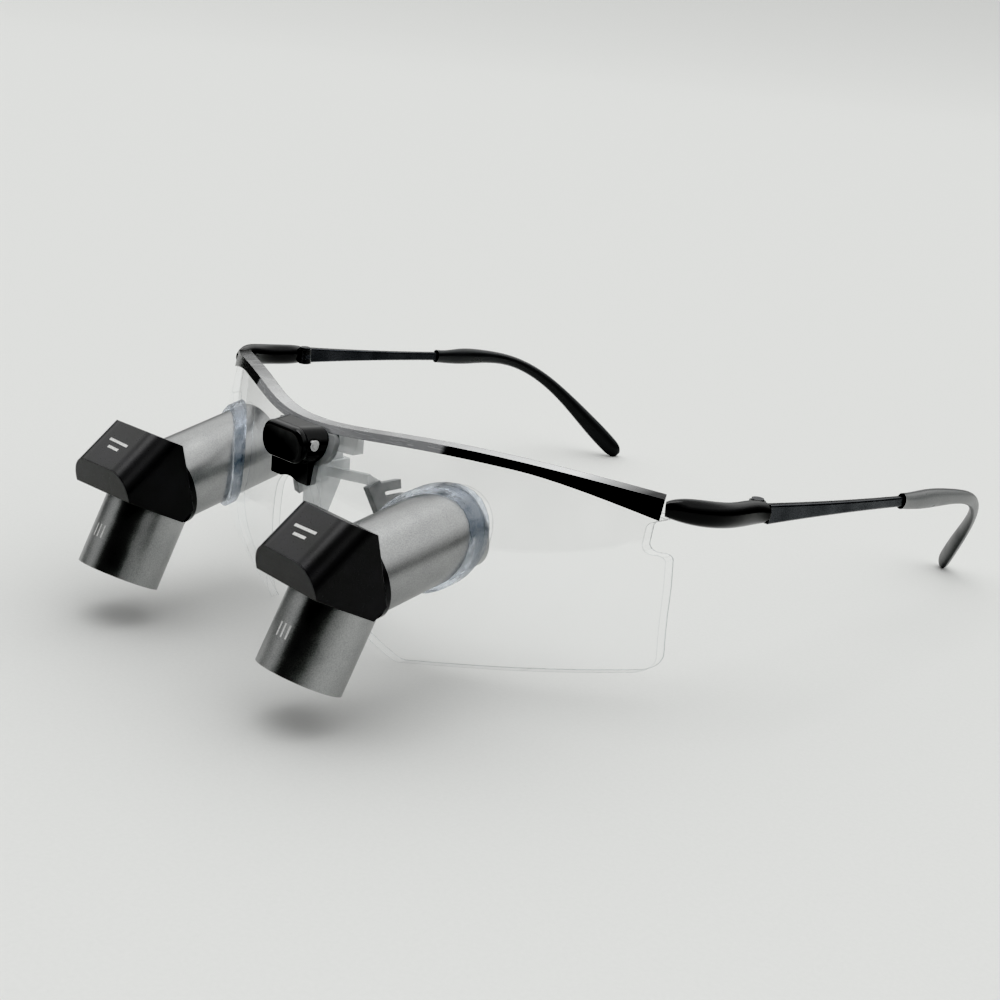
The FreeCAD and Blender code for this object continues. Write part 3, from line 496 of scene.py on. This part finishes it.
def crown_face(node):
    """Centre and normal of the biggest face of a housing that looks up and forwards."""
    forward = [face for face in NODES[node].data.polygons
               if face.normal.z > 0.3 and face.normal.y < -0.3]
    biggest = max(forward, key=lambda face: face.area)
    level = [face for face in forward
             if abs((face.center - biggest.center).dot(biggest.normal)) < SAME_LEVEL]
    area = sum(face.area for face in level)
    centre = sum((face.center * face.area for face in level), Vector()) / area
    return centre, biggest.normal.copy()


def printed(name, strips):
    """Thin painted strips, each a list of cross lines (pairs of points)."""
    points = []
    faces = []
    for strip in strips:
        start = len(points)
        for pair in strip:
            points.extend(pair)
        for k in range(len(strip) - 1):
            low = start + 2 * k
            faces.append((low, low + 1, low + 3, low + 2))
    mesh = bpy.data.meshes.new(name)
    mesh.from_pydata(points, [], faces)
    mesh.materials.append(PAINT)
    item = bpy.data.objects.new(name, mesh)
    bpy.context.scene.collection.objects.link(item)
    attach(item, "front")


def crown_bar(side):
    """A plain bar with a shorter one under it on the housing's front crown face."""
    centre, normal = crown_face("prism_housing_" + side)
    up = normal.cross(Vector((1, 0, 0))).normalized()
    across = up.cross(normal)
    strips = []
    half = up * BAR_HALF
    for lift, length in BAR_LINES:
        base = centre + normal * INK + up * lift
        strips.append([(base - half + across * run, base + half + across * run)
                       for run in (-length / 2, length / 2)])
    printed("crown_marks_" + side, strips)


def barrel_ticks(side):
    """Three index ticks printed on the front of the objective barrel."""
    ring = middle("objective_ring_" + side)
    centre = middle("objective_barrel_" + side)
    axis = (ring - centre).normalized()
    ahead = Vector((0, -1, 0))
    out = (ahead - axis * ahead.dot(axis)).normalized()
    around = axis.cross(out)
    strips = []
    for turn in TICK_TURNS:
        rows = []
        for edge in TICK_EDGES:
            normal = out * math.cos(turn + edge) + around * math.sin(turn + edge)
            foot = centre + normal * (BARREL_RADIUS + INK)
            rows.append((foot - axis * TICK_ABOVE, foot + axis * TICK_BELOW))
        strips.append(rows)
    printed("barrel_ticks_" + side, strips)


for side in SIDES:
    crown_bar(side)
    barrel_ticks(side)


# ---------------------------------------------------------------- floor, light and camera

def plain_paper():
    finish = Finish("plain_paper", roughness=0.85, Specular_IOR_Level=0.15)
    fibre = finish.noise(0.8 * MM, 3.0)
    colour = finish.blend(finish.spread(fibre, 0.3, 0.7), (0.725, 0.73, 0.72),
                          (0.74, 0.745, 0.735))
    finish.set("Base Color", colour)
    return finish.material


PAPER = plain_paper()
CENTRE_RADIUS = 0.0001
CARD_RADIUS = 0.42
ROOM_RADIUS = 10.0
RIM_RISE = 3.0
SWEEP_STEPS = 12


def lathe(name, profile, segments=96):
    """A round sheet turned from (radius, height) points."""
    points = []
    faces = []
    for radius, height in profile:
        for k in range(segments):
            angle = 2 * math.pi * k / segments
            points.append((radius * math.cos(angle), radius * math.sin(angle), height))
    for ring in range(len(profile) - 1):
        for k in range(segments):
            low = ring * segments
            ahead = (k + 1) % segments
            faces.append((low + k, low + ahead, low + segments + ahead, low + segments + k))
    mesh = bpy.data.meshes.new(name)
    mesh.from_pydata(points, [], faces)
    item = bpy.data.objects.new(name, mesh)
    bpy.context.scene.collection.objects.link(item)
    for polygon in mesh.polygons:
        polygon.use_smooth = True
    mesh.materials.append(PAPER)
    return item


def make_stage():
    """A white card under the object, and more paper round it that gloss doesn't pick up."""
    lathe("card", [(CENTRE_RADIUS, 0.0), (CARD_RADIUS, 0.0)])
    flat = ROOM_RADIUS / 2
    sweep = [(CARD_RADIUS, 0.0), (flat, 0.0)]
    for k in range(1, SWEEP_STEPS + 1):
        turn = math.pi / 2 * k / SWEEP_STEPS
        sweep.append((flat + (ROOM_RADIUS - flat) * math.sin(turn),
                      RIM_RISE * (1 - math.cos(turn))))
    surround = lathe("surround", sweep)
    surround.visible_glossy = False
    surround.visible_diffuse = False


CAMERA_AZIMUTH = math.radians(42.484)
CAMERA_ELEVATION = math.radians(17.683)
CAMERA_ROLL = math.radians(5.704)
CAMERA_PLACE = Vector((0.21126, -0.24302, 0.12000))
FOCAL_LENGTH = 52.0


def make_camera():
    back = Vector((math.sin(CAMERA_AZIMUTH) * math.cos(CAMERA_ELEVATION),
                   -math.cos(CAMERA_AZIMUTH) * math.cos(CAMERA_ELEVATION),
                   math.sin(CAMERA_ELEVATION)))
    right = (-back).cross(Vector((0, 0, 1))).normalized()
    up = right.cross(-back)
    side = right * math.cos(CAMERA_ROLL) + up * math.sin(CAMERA_ROLL)
    top = up * math.cos(CAMERA_ROLL) - right * math.sin(CAMERA_ROLL)
    camera = bpy.data.objects.new("camera", bpy.data.cameras.new("camera"))
    camera.data.sensor_width = 36.0
    camera.data.lens = FOCAL_LENGTH
    camera.data.clip_start = 0.01
    camera.data.clip_end = 20.0
    turn = Matrix((side, top, back)).transposed()
    camera.matrix_world = Matrix.Translation(CAMERA_PLACE) @ turn.to_4x4()
    bpy.context.scene.collection.objects.link(camera)
    bpy.context.scene.camera = camera


DOME_RAMP = (("From Min", 0.02), ("From Max", 0.55), ("To Min", 0.08), ("To Max", 1.12))
DARK_SIDE = Vector((0.31, -0.88, 0.36)).normalized()
DARK_RAMP = (("From Min", 0.62), ("From Max", 0.86), ("To Min", 1.0), ("To Max", 0.0))
LAMP_SIDE = Vector((-0.04, -0.12, 1.0))
LAMP_SPREAD = math.radians(40)
LAMP_STRENGTH = 0.5


def ramp(tree, value, numbers):
    """A smooth remapping of a value in a node tree."""
    item = tree.nodes.new("ShaderNodeMapRange")
    item.interpolation_type = "SMOOTHSTEP"
    for name, number in numbers:
        item.inputs[name].default_value = number
    tree.links.new(value, item.inputs["Value"])
    return item.outputs["Result"]


def make_light():
    """A bright dome that falls off to the horizon, darker in front where the studio is dark."""
    world = bpy.data.worlds.new("studio")
    bpy.context.scene.world = world
    world.use_nodes = True
    tree = world.node_tree
    back = tree.nodes["Background"]
    coords = tree.nodes.new("ShaderNodeTexCoord").outputs["Generated"]
    split = tree.nodes.new("ShaderNodeSeparateXYZ")
    tree.links.new(coords, split.inputs["Vector"])
    aside = tree.nodes.new("ShaderNodeVectorMath")
    aside.operation = "DOT_PRODUCT"
    aside.inputs[1].default_value = DARK_SIDE
    tree.links.new(coords, aside.inputs[0])
    both = tree.nodes.new("ShaderNodeMath")
    both.operation = "MULTIPLY"
    tree.links.new(ramp(tree, split.outputs["Z"], DOME_RAMP), both.inputs[0])
    tree.links.new(ramp(tree, aside.outputs["Value"], DARK_RAMP), both.inputs[1])
    tree.links.new(both.outputs["Value"], back.inputs["Strength"])
    back.inputs["Color"].default_value = (0.995, 1.0, 0.99, 1.0)

    lamp = bpy.data.lights.new("softbox", "SUN")
    lamp.angle = LAMP_SPREAD
    lamp.energy = LAMP_STRENGTH
    softbox = bpy.data.objects.new("softbox", lamp)
    softbox.rotation_euler = LAMP_SIDE.to_track_quat("Z", "Y").to_euler()
    bpy.context.scene.collection.objects.link(softbox)


TOE = ((0.02, 0.0005), (0.05, 0.008), (0.10, 0.072), (0.18, 0.176), (0.4, 0.4))
COMBINED = 3


def set_tone():
    """Plain view with the deep blacks of a product picture: a short toe, straight above it."""
    scene = bpy.context.scene
    scene.cycles.caustics_reflective = False
    scene.cycles.caustics_refractive = False
    view = scene.view_settings
    view.view_transform = "Standard"
    view.use_curve_mapping = True
    curve = view.curve_mapping.curves[COMBINED]
    for level, shown in TOE:
        curve.points.new(level, shown)
    view.curve_mapping.update()


make_stage()
make_camera()
make_light()
set_tone()
